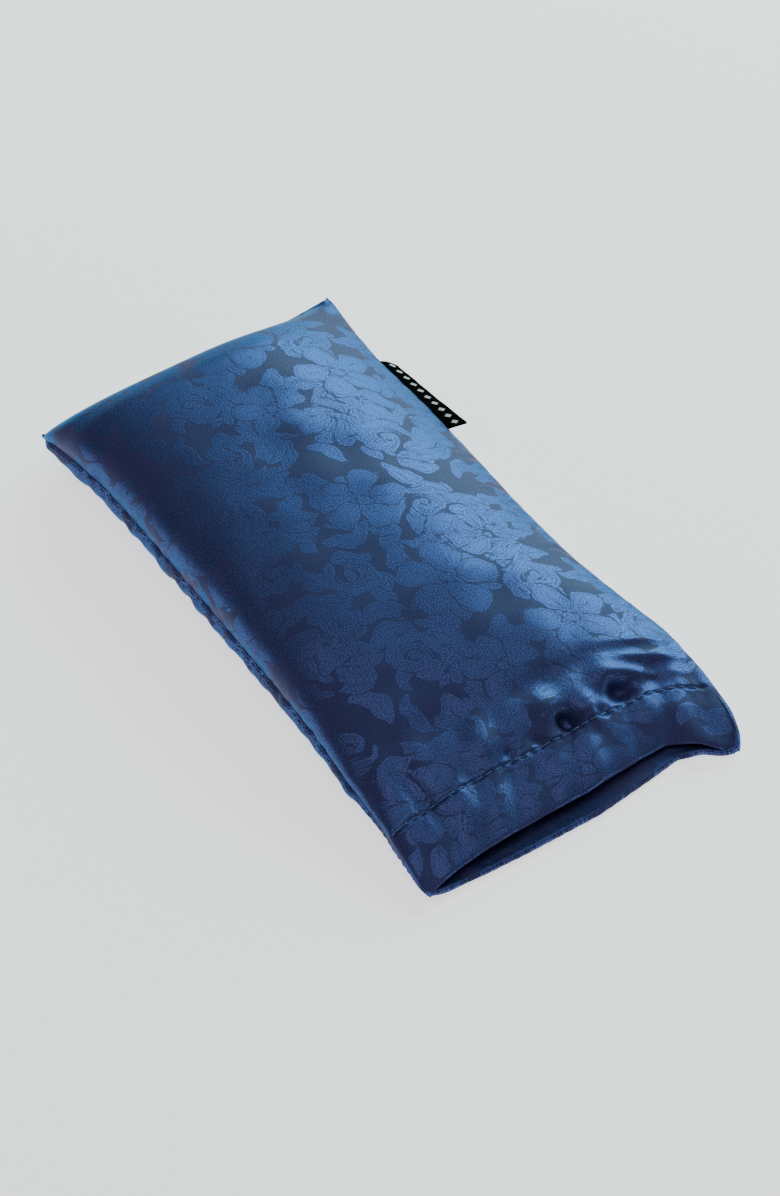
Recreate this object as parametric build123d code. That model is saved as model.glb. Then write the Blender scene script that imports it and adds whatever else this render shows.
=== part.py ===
from build123d import *
import os

# Eye pillow: a satin slip cover, open at one end, over a seed-filled inner pouch.
# Millimetres. The origin is the centre of the flat rest face, on the surface it lies on.
# +X runs along the pillow to the open mouth, +Y to the side that carries the label, +Z is up.

# Cover
CLOSED_END_X = -110.0
MOUTH_X = 112.0
CORNER_HALF_WIDTH = 52.0
MOUTH_HALF_WIDTH = 55.5
WAIST_HALF_WIDTH = 50.2
CREST_HEIGHT = 31.0
SIDE_SEAM_HEIGHT = 13.0
FABRIC = 0.8
HEM_DEPTH = 24.0
HEM_STITCH_INSET = 1.5
FLOOR_DIP = 0.4

# Cross-section shape: fullness of the crown's shoulders, and the radius of the base's long edges
SHOULDER = 0.66
CROWN = 0.56
BASE_ROUND = 17.0

# Seams
ALLOWANCE_GAP = 0.05
ALLOWANCE_WIDTH = 7.0
CORNER_GAP = 0.6
SEAM_DROP = 0.4
THREAD_RADIUS = 0.2
THREAD_CLEARANCE = 0.25
STITCH_PITCH = 4.0
STITCH_LENGTH = 3.0
HEM_STITCH_PITCH = 3.6
HEM_STITCH_LENGTH = 2.6

# Woven label, folded in two and caught in the +Y seam
LABEL_START_X = -79.0
LABEL_LENGTH = 36.0
LABEL_WIDTH = 9.0
LABEL_THICKNESS = 0.9
LABEL_SLIT = 0.1
LABEL_DROOP = 14.0
LABEL_TUCK = 1.6
LABEL_CLEARANCE = 0.05

# Inner pouch
POUCH_CLOSED_END_X = -103.0
POUCH_FILLING_END_X = 84.0
POUCH_HALF_WIDTH = 46.6
POUCH_CORNER_HALF_WIDTH = 46.8
POUCH_BASE = 3.0
POUCH_SEAM_HEIGHT = 13.0
POUCH_CREST_HEIGHT = 28.8
POUCH_END_SEAM_HEIGHT = 9.5
POUCH_FABRIC = 0.5
SEED_INSET = 1.9

HEM_X = MOUTH_X - HEM_DEPTH
HEM_STITCH_X = HEM_X + HEM_STITCH_INSET
# The cover is drawn this far past its mouth and then cut off
MOUTH_OVERRUN = 3.0
FAR = 400.0

HEM_STITCH_STATION = (HEM_STITCH_X, MOUTH_HALF_WIDTH - 1.5, 7.4, 15.0, 0.0)

# Stations along the cover: x, half width, side seam height, crest height, base height
COVER_STATIONS = [
    (CLOSED_END_X, CORNER_HALF_WIDTH - 0.5, 6.5, 9.0, 4.0),
    (-104.0, CORNER_HALF_WIDTH - 0.9, 7.4, 17.5, 1.5),
    (-94.0, CORNER_HALF_WIDTH - 1.3, 9.0, 24.0, 0.2),
    (-76.0, WAIST_HALF_WIDTH + 0.2, 11.4, 28.8, 0.0),
    (-45.0, WAIST_HALF_WIDTH, SIDE_SEAM_HEIGHT, CREST_HEIGHT, 0.0),
    (0.0, WAIST_HALF_WIDTH + 0.3, SIDE_SEAM_HEIGHT, CREST_HEIGHT, 0.0),
    (42.0, WAIST_HALF_WIDTH + 1.5, 12.2, CREST_HEIGHT - 2.0, 0.0),
    (68.0, WAIST_HALF_WIDTH + 3.0, 10.0, 23.5, 0.0),
    HEM_STITCH_STATION,
    (101.0, MOUTH_HALF_WIDTH - 0.4, 6.0, 12.0, 0.0),
    (MOUTH_X, MOUTH_HALF_WIDTH, 5.4, 10.2, 0.0),
    (MOUTH_X + MOUTH_OVERRUN, MOUTH_HALF_WIDTH, 5.4, 10.2, 0.0),
]

# Stations along the pouch, in the same order of values
POUCH_STATIONS = [
    (POUCH_CLOSED_END_X, POUCH_CORNER_HALF_WIDTH, POUCH_END_SEAM_HEIGHT, 12.2, 6.8),
    (-96.0, POUCH_CORNER_HALF_WIDTH - 0.1, 10.4, 20.0, 3.6),
    (-80.0, POUCH_HALF_WIDTH, 11.8, 25.8, POUCH_BASE),
    (-45.0, POUCH_HALF_WIDTH, POUCH_SEAM_HEIGHT, POUCH_CREST_HEIGHT, POUCH_BASE),
    (0.0, POUCH_HALF_WIDTH, POUCH_SEAM_HEIGHT, POUCH_CREST_HEIGHT, POUCH_BASE),
    (36.0, POUCH_HALF_WIDTH, 12.4, POUCH_CREST_HEIGHT - 1.8, POUCH_BASE),
    (60.0, POUCH_HALF_WIDTH, 11.0, 21.8, POUCH_BASE),
    (74.0, POUCH_CORNER_HALF_WIDTH - 0.1, 10.2, 16.8, 4.0),
    (POUCH_FILLING_END_X, POUCH_CORNER_HALF_WIDTH, POUCH_END_SEAM_HEIGHT, 11.6, 7.0),
]


def crown_edges(x, half_width, seam, top):
    """The crowned upper outline across the cushion, from the +Y seam to the -Y seam."""
    high = seam + SHOULDER * (top - seam)
    wide = CROWN * half_width
    right = Edge.make_bezier((x, half_width, seam), (x, half_width, high), (x, wide, top), (x, 0, top))
    left = Edge.make_bezier((x, 0, top), (x, -wide, top), (x, -half_width, high), (x, -half_width, seam))
    return [right, left]


def base_edges(x, half_width, seam, base):
    """The lower outline, from the -Y seam to the +Y seam: flat in the middle, rounded at both sides."""
    flat = half_width - BASE_ROUND
    wide = flat + BASE_ROUND * SHOULDER
    low = base + (seam - base) * (1 - SHOULDER)
    left = Edge.make_bezier((x, -half_width, seam), (x, -half_width, low), (x, -wide, base), (x, -flat, base))
    middle = Edge.make_line((x, -flat, base), (x, flat, base))
    right = Edge.make_bezier((x, flat, base), (x, wide, base), (x, half_width, low), (x, half_width, seam))
    return [left, middle, right]


def inset_stations(stations, inset, closed_both_ends):
    """The stations drawn inwards by the inset on every side."""
    drawn = []
    for x, half_width, seam, top, base in stations:
        drawn.append([x, half_width - inset, seam, top - inset, base + inset])
    drawn[0][0] += inset
    drawn[-1][0] += -inset if closed_both_ends else inset
    return drawn


def cushion(stations, inset=0.0, part="whole", closed_both_ends=False, dip=0.0):
    """A lofted cushion, or only the part of it above or below the side seams; the dip lowers its base."""
    wires = []
    for x, half_width, seam, top, base in inset_stations(stations, inset, closed_both_ends):
        crown = crown_edges(x, half_width, seam, top)
        bottom = base_edges(x, half_width, seam, base - dip)
        if part == "upper":
            crown.append(Edge.make_line((x, -half_width, seam), (x, half_width, seam)))
            wires.append(Wire(crown))
        elif part == "lower":
            bottom.append(Edge.make_line((x, half_width, seam), (x, -half_width, seam)))
            wires.append(Wire(bottom))
        else:
            wires.append(Wire(crown + bottom))
    return Solid.make_loft(wires)


def slab(x_low, x_high, y_low=-FAR, y_high=FAR, z_low=-FAR, z_high=FAR):
    """A box between two limits on each axis."""
    box = Box(x_high - x_low, y_high - y_low, z_high - z_low)
    return Pos((x_low + x_high) / 2, (y_low + y_high) / 2, (z_low + z_high) / 2) * box


def cover_panel(part):
    """Half of the cover: one layer of fabric, doubled where the hem is turned in at the mouth.

    The base dips a little below the floor before it is cut off there, which leaves a flat rest face.
    """
    panel = cushion(COVER_STATIONS, 0.0, part, dip=FLOOR_DIP) - cushion(COVER_STATIONS, 2 * FABRIC)
    single_layer = cushion(COVER_STATIONS, FABRIC) & slab(-FAR, HEM_X)
    return (panel - single_layer) & slab(-FAR, MOUTH_X, z_low=0.0)


def pouch_panel(part):
    """Half of the inner pouch."""
    outer = cushion(POUCH_STATIONS, 0.0, part, closed_both_ends=True)
    return outer - cushion(POUCH_STATIONS, POUCH_FABRIC, closed_both_ends=True)


def allowance_layer(stations, fabric, closed_both_ends):
    """The turned-in panel edges as one layer against the lower panel's inner face."""
    outer = cushion(stations, fabric + ALLOWANCE_GAP, "lower", closed_both_ends)
    return outer - cushion(stations, 2 * fabric, "whole", closed_both_ends)


def side_allowance(layer, side, start_x, end_x, half_width):
    """The strip of the layer along one long side; side is +1 or -1."""
    edges = sorted([side * (half_width - ALLOWANCE_WIDTH), side * FAR])
    return layer & slab(start_x, end_x, edges[0], edges[1])


def end_reach(half_width):
    """How far an end seam's strip and stitches reach from the middle, clear of the side seams' strips."""
    return half_width - ALLOWANCE_WIDTH - CORNER_GAP


def end_allowance(layer, start_x, half_width):
    """The strip of the layer along the closed end."""
    reach = end_reach(half_width)
    return layer & slab(start_x, start_x + ALLOWANCE_WIDTH, -reach, reach)


def stitch_row(path, pitch, length):
    """Separate straight stitches at an even pitch along a path."""
    count = int(path.length / pitch)
    stitches = []
    for i in range(count):
        start = path.position_at((i * pitch + (pitch - length) / 2) / path.length)
        end = path.position_at((i * pitch + (pitch + length) / 2) / path.length)
        axis = Plane(origin=start, z_dir=end - start)
        stitches.append(Solid.make_cylinder(THREAD_RADIUS, (end - start).length, axis))
    return Compound(children=stitches)


def side_stitches(stations, side, fabric):
    """The stitches of a side seam, seen on the allowance's inner face; side is +1 or -1."""
    inset = 2 * fabric + THREAD_RADIUS + THREAD_CLEARANCE
    points = [(x, side * (half_width - inset), seam - SEAM_DROP) for x, half_width, seam, _, _ in stations]
    return stitch_row(Spline(points), STITCH_PITCH, STITCH_LENGTH)


def end_stitches(x, z, half_width):
    """A straight row of stitches across an end of the cushion."""
    reach = end_reach(half_width)
    return stitch_row(Line((x, -reach, z), (x, reach, z)), STITCH_PITCH, STITCH_LENGTH)


def hem_stitches_top():
    """The stitches that hold the top panel's hem, lying on its outer face."""
    x, half_width, seam, top, _ = HEM_STITCH_STATION
    lift = THREAD_RADIUS + THREAD_CLEARANCE
    crown = Wire(crown_edges(x, half_width + lift, seam, top + lift))
    return stitch_row(crown, HEM_STITCH_PITCH, HEM_STITCH_LENGTH)


def hem_stitches_bottom():
    """The stitches that hold the bottom panel's hem, lying on its inner face."""
    x, half_width, _, _, base = HEM_STITCH_STATION
    z = base + 2 * FABRIC + THREAD_RADIUS + THREAD_CLEARANCE
    reach = half_width - BASE_ROUND
    return stitch_row(Line((x, -reach, z), (x, reach, z)), HEM_STITCH_PITCH, HEM_STITCH_LENGTH)


def side_label():
    """A woven ribbon folded in two, its fold outwards, cut to the cover's side."""
    slit = Pos(-LABEL_THICKNESS) * Rectangle(LABEL_WIDTH, LABEL_SLIT)
    profile = Rectangle(LABEL_WIDTH, LABEL_THICKNESS) - slit
    ribbon = extrude(Plane.YZ * profile, amount=LABEL_LENGTH, dir=(1, 0, 0))
    rolled = Rot(X=-LABEL_DROOP) * ribbon
    centre_y = WAIST_HALF_WIDTH - LABEL_TUCK + LABEL_WIDTH / 2
    placed = Pos(LABEL_START_X, centre_y, SIDE_SEAM_HEIGHT - LABEL_TUCK) * rolled
    return placed - cushion(COVER_STATIONS, -LABEL_CLEARANCE)


def cover_parts():
    """The slip cover's pieces by name."""
    layer = allowance_layer(COVER_STATIONS, FABRIC, False)
    _, end_half_width, end_seam, _, _ = COVER_STATIONS[0]
    inner_face_x = CLOSED_END_X + 2 * FABRIC
    thread_x = inner_face_x + THREAD_RADIUS + THREAD_CLEARANCE
    parts = {
        "cover_top_panel": cover_panel("upper"),
        "cover_bottom_panel": cover_panel("lower"),
        "cover_end_seam_allowance": end_allowance(layer, CLOSED_END_X, end_half_width),
        "cover_end_seam_thread": end_stitches(thread_x, end_seam, end_half_width),
        "hem_stitches_top": hem_stitches_top(),
        "hem_stitches_bottom": hem_stitches_bottom(),
        "side_label": side_label(),
    }
    sewn = [station for station in COVER_STATIONS if CLOSED_END_X < station[0] < HEM_X]
    for name, side in (("near", -1), ("far", 1)):
        parts[f"cover_{name}_seam_allowance"] = side_allowance(
            layer, side, CLOSED_END_X, HEM_X - CORNER_GAP, end_half_width)
        parts[f"cover_{name}_seam_thread"] = side_stitches(sewn, side, FABRIC)
    return parts


def pouch_parts():
    """The inner pouch's pieces by name."""
    layer = allowance_layer(POUCH_STATIONS, POUCH_FABRIC, True)
    inner_face_x = POUCH_CLOSED_END_X + 2 * POUCH_FABRIC
    thread_x = inner_face_x + THREAD_RADIUS + THREAD_CLEARANCE
    closing_x = POUCH_FILLING_END_X + THREAD_RADIUS + THREAD_CLEARANCE
    parts = {
        "pouch_top_panel": pouch_panel("upper"),
        "pouch_bottom_panel": pouch_panel("lower"),
        "pouch_end_seam_allowance": end_allowance(layer, POUCH_CLOSED_END_X, POUCH_CORNER_HALF_WIDTH),
        "pouch_end_seam_thread": end_stitches(thread_x, POUCH_END_SEAM_HEIGHT, POUCH_CORNER_HALF_WIDTH),
        "pouch_closing_stitch": end_stitches(closing_x, POUCH_END_SEAM_HEIGHT, POUCH_CORNER_HALF_WIDTH),
        "seed_filling": cushion(POUCH_STATIONS, SEED_INSET, closed_both_ends=True),
    }
    for name, side in (("near", -1), ("far", 1)):
        parts[f"pouch_{name}_seam_allowance"] = side_allowance(
            layer, side, POUCH_CLOSED_END_X, POUCH_FILLING_END_X, POUCH_CORNER_HALF_WIDTH)
        parts[f"pouch_{name}_seam_thread"] = side_stitches(POUCH_STATIONS[1:-1], side, POUCH_FABRIC)
    return parts


os.makedirs("parts", exist_ok=True)
for name, shape in {**cover_parts(), **pouch_parts()}.items():
    export_step(shape, f"parts/{name}.step")
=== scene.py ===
from math import cos, pi, radians, sin

import bmesh
import bpy
import numpy as np
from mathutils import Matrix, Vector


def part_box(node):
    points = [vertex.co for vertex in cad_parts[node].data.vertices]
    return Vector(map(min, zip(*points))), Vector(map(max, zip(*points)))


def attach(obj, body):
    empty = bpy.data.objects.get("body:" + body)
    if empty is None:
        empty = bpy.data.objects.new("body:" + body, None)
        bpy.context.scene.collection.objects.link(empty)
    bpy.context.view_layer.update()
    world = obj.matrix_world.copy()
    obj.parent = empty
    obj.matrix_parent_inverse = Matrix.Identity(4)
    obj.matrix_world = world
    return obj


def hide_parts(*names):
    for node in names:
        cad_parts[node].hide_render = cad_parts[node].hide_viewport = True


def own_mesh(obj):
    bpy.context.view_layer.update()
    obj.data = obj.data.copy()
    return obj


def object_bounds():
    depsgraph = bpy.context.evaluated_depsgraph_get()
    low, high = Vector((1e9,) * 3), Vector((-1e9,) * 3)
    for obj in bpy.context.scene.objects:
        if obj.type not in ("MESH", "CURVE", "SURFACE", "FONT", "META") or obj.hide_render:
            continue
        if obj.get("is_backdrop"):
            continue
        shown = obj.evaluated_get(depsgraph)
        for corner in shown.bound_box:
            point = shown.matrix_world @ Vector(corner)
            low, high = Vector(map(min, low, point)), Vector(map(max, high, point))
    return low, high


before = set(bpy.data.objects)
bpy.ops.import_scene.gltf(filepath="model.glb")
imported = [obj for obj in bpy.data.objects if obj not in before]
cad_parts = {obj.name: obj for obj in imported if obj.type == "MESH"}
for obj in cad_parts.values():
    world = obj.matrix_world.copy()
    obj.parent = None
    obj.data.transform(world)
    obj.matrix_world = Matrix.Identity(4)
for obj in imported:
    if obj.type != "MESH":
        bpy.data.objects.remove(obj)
CAD_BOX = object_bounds()

# Lengths are in millimetres until a mesh is made.
MM = 0.001
CLOSED_END_X = round(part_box("cover_top_panel")[0][0] / MM)
MOUTH_X = round(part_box("cover_top_panel")[1][0] / MM)

# The cover as it is cut and sewn
FLAT_LENGTH = 245.0
FLAT_WIDTH = 116.0
HEM_DEPTH = 24.0
HEM_LINE = FLAT_LENGTH - HEM_DEPTH
FABRIC = 0.5
HEM_THICKNESS = 1.3
RIM_SHARE = 0.75

# The pouch, measured inside the cover
POUCH_FROM_END = 9.0
POUCH_FROM_HEM = 14.0
POUCH_FROM_SIDE = 0.035
POUCH_GAP = 1.8
POUCH_WIDTH_SHARE = 0.95
POUCH_HALF_LENGTH = 92.0
POUCH_HALF_WIDTH = 48.0
POUCH_CORNER = 18.0
POUCH_FLANGE = 2.2
POUCH_SHOULDER = 5.0
POUCH_SWELL = 0.25
POUCH_ROWS = 221
POUCH_COLUMNS = 121

# The folded label in the far seam
LABEL_START = -74.5
LABEL_LENGTH = 36.0
LABEL_REACH = 6.4
LABEL_TUCK = 1.5
LABEL_THICKNESS = 0.7
LABEL_ROWS = 61
LABEL_COLUMNS = 17
LOZENGE_STEP = 3.6

# Spacing of the cloth's points while it settles and in the finished mesh
SIM_STEP = 2.0
FINE_STEP = 0.56
INNER_COARSENESS = 4
FLOOR_CLEARANCE = 0.05

# How the cloth settles
FULL_STEPS = 140
SPARE_BY_SEAM = 0.035
SPARE_BY_SEAM_PER_PANEL = (0.6, 1.3)
SPARE_IN_HEM = 0.008
SPARE_AT_END = 0.02
SEAM_PUCKER_REACH = 9.0
END_PUCKER_REACH = 7.0
NOISE = 0.10
HOLD = 0.10
HOLD_LOST_WHERE_LOOSE = 0.075
DAMPING = 0.9
DIAGONAL_STIFFNESS = 0.3
BENDING_STIFFNESS = 0.3
LEAST_PANEL_GAP = 1.6

# The filled cover from the closed end to the mouth, one row per cross-section:
# x, far seam y and z, near seam y and z, rise of the crest above the seams, drop to the base
SECTIONS = np.array([
    (CLOSED_END_X + 1.0, 50.6, 10.0, -53.6, 6.6, 0.0, 0.0),
    (-107.0, 50.4, 10.8, -54.3, 7.4, 4.2, 3.4),
    (-104.0, 50.0, 11.6, -54.7, 9.0, 8.6, 6.4),
    (-99.0, 49.2, 12.2, -54.1, 10.5, 13.0, 9.4),
    (-90.0, 48.3, 12.5, -53.4, 11.8, 16.2, 11.6),
    (-75.0, 47.8, 12.5, -51.9, 12.3, 18.2, 12.2),
    (-50.0, 49.4, 12.5, -51.6, 12.5, 18.5, 12.3),
    (-20.0, 49.9, 12.4, -51.8, 12.4, 18.5, 12.2),
    (0.0, 50.0, 12.2, -51.8, 12.0, 18.3, 12.0),
    (25.0, 51.6, 11.6, -51.8, 11.2, 17.2, 11.2),
    (45.0, 55.0, 10.8, -52.0, 10.0, 14.6, 10.2),
    (65.0, 59.4, 9.6, -53.2, 8.6, 10.5, 8.8),
    (84.0, 60.2, 7.8, -53.8, 7.0, 6.4, 7.0),
    (100.0, 59.4, 6.0, -55.4, 5.0, 5.0, 5.0),
    (108.0, 57.4, 3.8, -55.8, 3.4, 3.8, 3.2),
    (MOUTH_X, 54.6, 1.8, -54.6, 2.6, 3.2, 1.6),
])
# How far the mouth's edge stands back: share of the way from near corner to far one, distance
MOUTH_SETBACK = [(0.0, 1.5), (0.08, 1.8), (0.3, 2.6), (0.55, 4.0), (0.75, 7.6), (0.84, 9.4),
                 (0.91, 6.4), (0.96, 2.0), (1.0, 0.6)]
# The soft folds that the filling leaves round the hem: height, x, y, reach along x, reach along y
FOLDS = [
    (1.8, 76, 9, 4.5, 6.5), (1.8, 73, 32, 4.5, 7.0), (1.6, 82, 21, 5.5, 3.6),
    (1.2, 70, 48, 6.0, 6.0), (1.1, 91, 40, 7.0, 6.0), (-1.4, 68, 16, 4.0, 18.0),
    (-1.2, 80, 46, 4.0, 5.0), (-1.5, 66, -22, 6.0, 15.0), (1.3, 78, -16, 5.0, 9.0),
    (1.3, 92, -30, 10.0, 7.0), (-1.6, 84, -40, 11.0, 4.0), (1.1, 99, 10, 7.0, 22.0),
    (-0.9, 93, -8, 5.0, 9.0), (2.4, 108, 46, 9.0, 5.5), (-1.0, 106, 30, 8.0, 6.0),
]
# The hollows that the hem stitching pulls, in the same terms
HOLLOWS = [
    (-4.6, 82.5, 12.5, 2.6, 3.0), (-4.4, 80, 33, 2.8, 4.4), (-1.4, 84, 24, 1.8, 1.6),
    (-1.1, 84, 1, 1.8, 2.0), (-0.9, 84, -9, 1.6, 2.0),
]
# The ripples from the deep hollows to the far corner: place across their run, height
RIPPLES = [(60.5, 0.7), (55.0, 0.9), (49.0, 0.7)]
RIPPLE_RUN = (0.31, 0.95)


# ---------------------------------------------------------------- cloth

def smooth(value, low, high):
    """0 below low, 1 above high, and a smooth ramp between."""
    t = np.clip((value - low) / (high - low), 0.0, 1.0)
    return t * t * (3 - 2 * t)


def bump(x, y, cx, cy, rx, ry):
    """A round bump of height 1 at (cx, cy)."""
    return np.exp(-((x - cx) / rx) ** 2 - ((y - cy) / ry) ** 2)


def bumps(x, y, table):
    """The sum of the bumps in a table of heights, places and reaches."""
    return sum(height * bump(x, y, *shape) for height, *shape in table)


def wander(value, wavelengths, seed):
    """A smooth random curve: waves of a few lengths with random phases, between -1 and 1."""
    rng = np.random.default_rng(seed)
    waves = [np.sin(2 * pi * value / length + rng.uniform(0, 2 * pi)) for length in wavelengths]
    return sum(waves) / len(waves)


def soft_table(table, places):
    """Reads a table of stations at some places, with the corners between stations eased."""
    table = np.asarray(table)
    dense = np.linspace(table[0, 0], table[-1, 0], 1200)
    columns = np.stack([np.interp(dense, table[:, 0], table[:, k]) for k in range(1, table.shape[1])], -1)
    for _ in range(160):
        columns[1:-1] = 0.5 * columns[1:-1] + 0.25 * (columns[2:] + columns[:-2])
    return [np.interp(places, dense, columns[:, k]) for k in range(columns.shape[1])]


def even_rows(count):
    """x of the rows of cloth, evenly spaced along the crest of the top panel."""
    x = np.linspace(SECTIONS[0, 0], SECTIONS[-1, 0], 2000)
    rise = np.interp(x, SECTIONS[:, 0], SECTIONS[:, 5])
    along = np.concatenate([[0], np.cumsum(np.hypot(np.diff(x), np.diff(rise)))])
    return np.interp(np.linspace(0, along[-1], count), along, x)


def drawn_panel(x, columns, upper):
    """One panel of the filled cover, before it is creased: a grid of points by rows of x."""
    far_y, far_z, near_y, near_z, rise, drop = soft_table(SECTIONS, x)
    q = 0.5 - 0.5 * np.cos(np.linspace(0, pi, 240))
    setback = soft_table(MOUTH_SETBACK, q)[0]
    middle = 1 - np.abs(2 * q - 1) ** 3
    mouth_bow = 4.6 if upper else -1.6
    wall_lean = 1.6 if upper else 2.2
    rows = []
    for i in range(len(x)):
        seam = near_z[i] + (far_z[i] - near_z[i]) * q
        if upper:
            ease = 0.5 + 0.36 * smooth(q, 0.35, 0.9)
            arch = (1 - np.abs(2 * q ** 0.72 - 1) ** 2.7) ** ease
            ear = (1 - smooth(x[i], -104, -80)) * smooth(q, 0.55, 1.0)
            z = seam + rise[i] * arch * (1 - 0.15 * ear)
        else:
            arch = (1 - np.abs(2 * q - 1) ** 8) ** 0.5
            z = seam - drop[i] * arch
        wall = 4 * arch * (1 - arch) * smooth(rise[i], 3, 12)
        y = near_y[i] + (far_y[i] - near_y[i]) * q
        y = y - wall_lean * wall * (1 - q) ** 6 + 0.9 * wall * q ** 6
        from_end = 2.2 * middle * (1 - smooth(x[i], -110, -92))
        from_mouth = (setback + mouth_bow * middle) * smooth(x[i], 74, 112) ** 0.8
        section = np.stack([x[i] + from_end - from_mouth, y, z], -1)
        steps = np.linalg.norm(np.diff(section, axis=0), axis=1)
        along = np.concatenate([[0], np.cumsum(steps)])
        even = np.linspace(0, along[-1], columns)
        rows.append(np.stack([np.interp(even, along, section[:, k]) for k in range(3)], -1))
    return np.array(rows)


def creases(p, upper):
    """How far each point is pushed out (up or down), for the soft folds that the filling leaves."""
    x, y = p[..., 0], p[..., 1]
    if not upper:
        return 0.35 * wander(x + 0.5 * y, (17, 9.5, 26), 3) * smooth(np.abs(y), 20, 44)
    hem = smooth(x, 52, 74) * (1 - 0.5 * smooth(x, 96, 112))
    body = smooth(x, -100, -80) * (1 - smooth(x, 50, 80))
    hem_waves = 0.45 * hem * wander(y + 0.3 * x, (29, 17, 11), 5)
    body_waves = 0.35 * body * wander(x + 0.4 * y, (47, 31), 9) * wander(y - 0.3 * x, (37, 23), 12)
    return bumps(x, y, FOLDS) + hem_waves + body_waves


def drawn_cover(rows, columns):
    """Both panels of the filled cover with their soft folds."""
    x = even_rows(rows)
    panels = []
    for upper in (True, False):
        p = drawn_panel(x, columns, upper)
        push = creases(p, upper)
        t = np.abs(np.linspace(-1, 1, columns))
        push = push * (1 - smooth(t, 0.9, 1.0))[None] * smooth(x, -110, -98)[:, None]
        panels.append(p + push[..., None] * grid_normals(p) * (1 if upper else -1))
    return np.stack(panels)


def part_of(value, rows, columns):
    """The value itself, or the part of a grid of values with those rows and columns."""
    if not isinstance(value, np.ndarray):
        return value
    part = value[:, rows, columns]
    return part if part.ndim == 4 else part[..., None]


def pull(p, di, dj, rest, stiffness, colours):
    """Moves every pair of points (i, j), (i + di, j + dj) towards their rest distance."""
    rows, columns = p.shape[1], p.shape[2]
    for colour in range(colours):
        if di:
            near_rows = slice(colour, rows - di, colours)
            far_rows = slice(colour + di, rows, colours)
            near_columns = slice(max(0, -dj), columns - max(0, dj))
            far_columns = slice(max(0, dj), columns - max(0, -dj))
        else:
            near_rows = far_rows = slice(None)
            near_columns = slice(colour, columns - dj, colours)
            far_columns = slice(colour + dj, columns, colours)
        a = p[:, near_rows, near_columns]
        b = p[:, far_rows, far_columns]
        d = b - a
        length = np.sqrt(np.einsum("...c,...c", d, d))[..., None] + 1e-9
        target = part_of(rest, near_rows, near_columns)
        d *= 0.5 * part_of(stiffness, near_rows, near_columns) * (1 - target / length)
        a += d
        b -= d


def rest_lengths(p, di, dj):
    """Distance from each point to the one di rows and dj columns on, on the grid of the first."""
    rest = np.ones(p.shape[:3])
    rows, columns = p.shape[1], p.shape[2]
    low, high = max(0, -dj), columns - max(0, dj)
    gap = p[:, di:, low + dj:high + dj] - p[:, :rows - di, low:high]
    rest[:, :rows - di, low:high] = np.linalg.norm(gap, axis=-1)
    return rest


def settle(steps):
    """The drawn cover with its spare cloth let go, so that it puckers along the seams and the hem."""
    rows = int(FLAT_LENGTH / SIM_STEP) + 1
    columns = int(FLAT_WIDTH / SIM_STEP) + 1
    p = drawn_cover(rows, columns)
    target = p.copy()
    s, t = np.meshgrid(np.linspace(0, FLAT_LENGTH, rows), np.linspace(-1, 1, columns), indexing="ij")
    in_hem = smooth(s, HEM_LINE - 22, HEM_LINE - 4)
    beside = np.exp(-(1 - np.abs(t)) * FLAT_WIDTH / 2 / SEAM_PUCKER_REACH) * (np.abs(t) < 0.999)
    beside = beside * (1 - 0.8 * in_hem)
    end = np.exp(-s / END_PUCKER_REACH)
    per_panel = np.array(SPARE_BY_SEAM_PER_PANEL)[:, None, None]
    spare_u = 1 + SPARE_BY_SEAM * per_panel * beside * smooth(s, 10, 30)
    spare_v = 1 + SPARE_IN_HEM * in_hem + SPARE_AT_END * end * (s > 1)
    cross = (spare_u + spare_v) / 2
    # rows on, columns on, rest length, stiffness, sets of pairs that share no point
    springs = [
        (1, 0, rest_lengths(p, 1, 0) * spare_u, 1.0, 2),
        (0, 1, rest_lengths(p, 0, 1) * spare_v, 1.0, 2),
        (1, 1, rest_lengths(p, 1, 1) * cross, DIAGONAL_STIFFNESS, 2),
        (1, -1, rest_lengths(p, 1, -1) * cross, DIAGONAL_STIFFNESS, 2),
        (2, 0, rest_lengths(p, 2, 0) * spare_u, BENDING_STIFFNESS, 4),
        (0, 2, rest_lengths(p, 0, 2) * spare_v, BENDING_STIFFNESS, 4),
    ]
    rng = np.random.default_rng(7)
    p[:, 1:, 1:-1] += rng.normal(0, NOISE, p[:, 1:, 1:-1].shape)
    previous = p.copy()
    loose = np.maximum(np.maximum(beside, 0.5 * in_hem), end)
    hold = (HOLD - HOLD_LOST_WHERE_LOOSE * loose)[None, ..., None] * np.ones((2, 1, 1, 3))
    for _ in range(steps):
        velocity = (p - previous) * DAMPING
        previous = p.copy()
        p += velocity
        p += hold * (target - p)
        for _ in range(3):
            for spring in springs:
                pull(p, *spring)
            sew(p)
            keep_apart(p, np.abs(t) < 0.99)
    return p


def keep_apart(p, inside):
    """Holds the top panel above the bottom one, away from the seams, and both above the floor."""
    gap = p[0, ..., 2] - p[1, ..., 2]
    close = np.clip(LEAST_PANEL_GAP - gap, 0, 0.5) * inside
    p[0, ..., 2] += close / 2
    p[1, ..., 2] -= close / 2
    p[..., 2] = np.maximum(p[..., 2], FABRIC / 2)


def sew(p):
    """Joins the two panels along both long sides and the closed end."""
    for edge in (np.s_[:, 0], np.s_[:, -1], np.s_[0, :]):
        joined = (p[0][edge] + p[1][edge]) / 2
        p[0][edge] = joined
        p[1][edge] = joined


# ---------------------------------------------------------------- meshes

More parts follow.
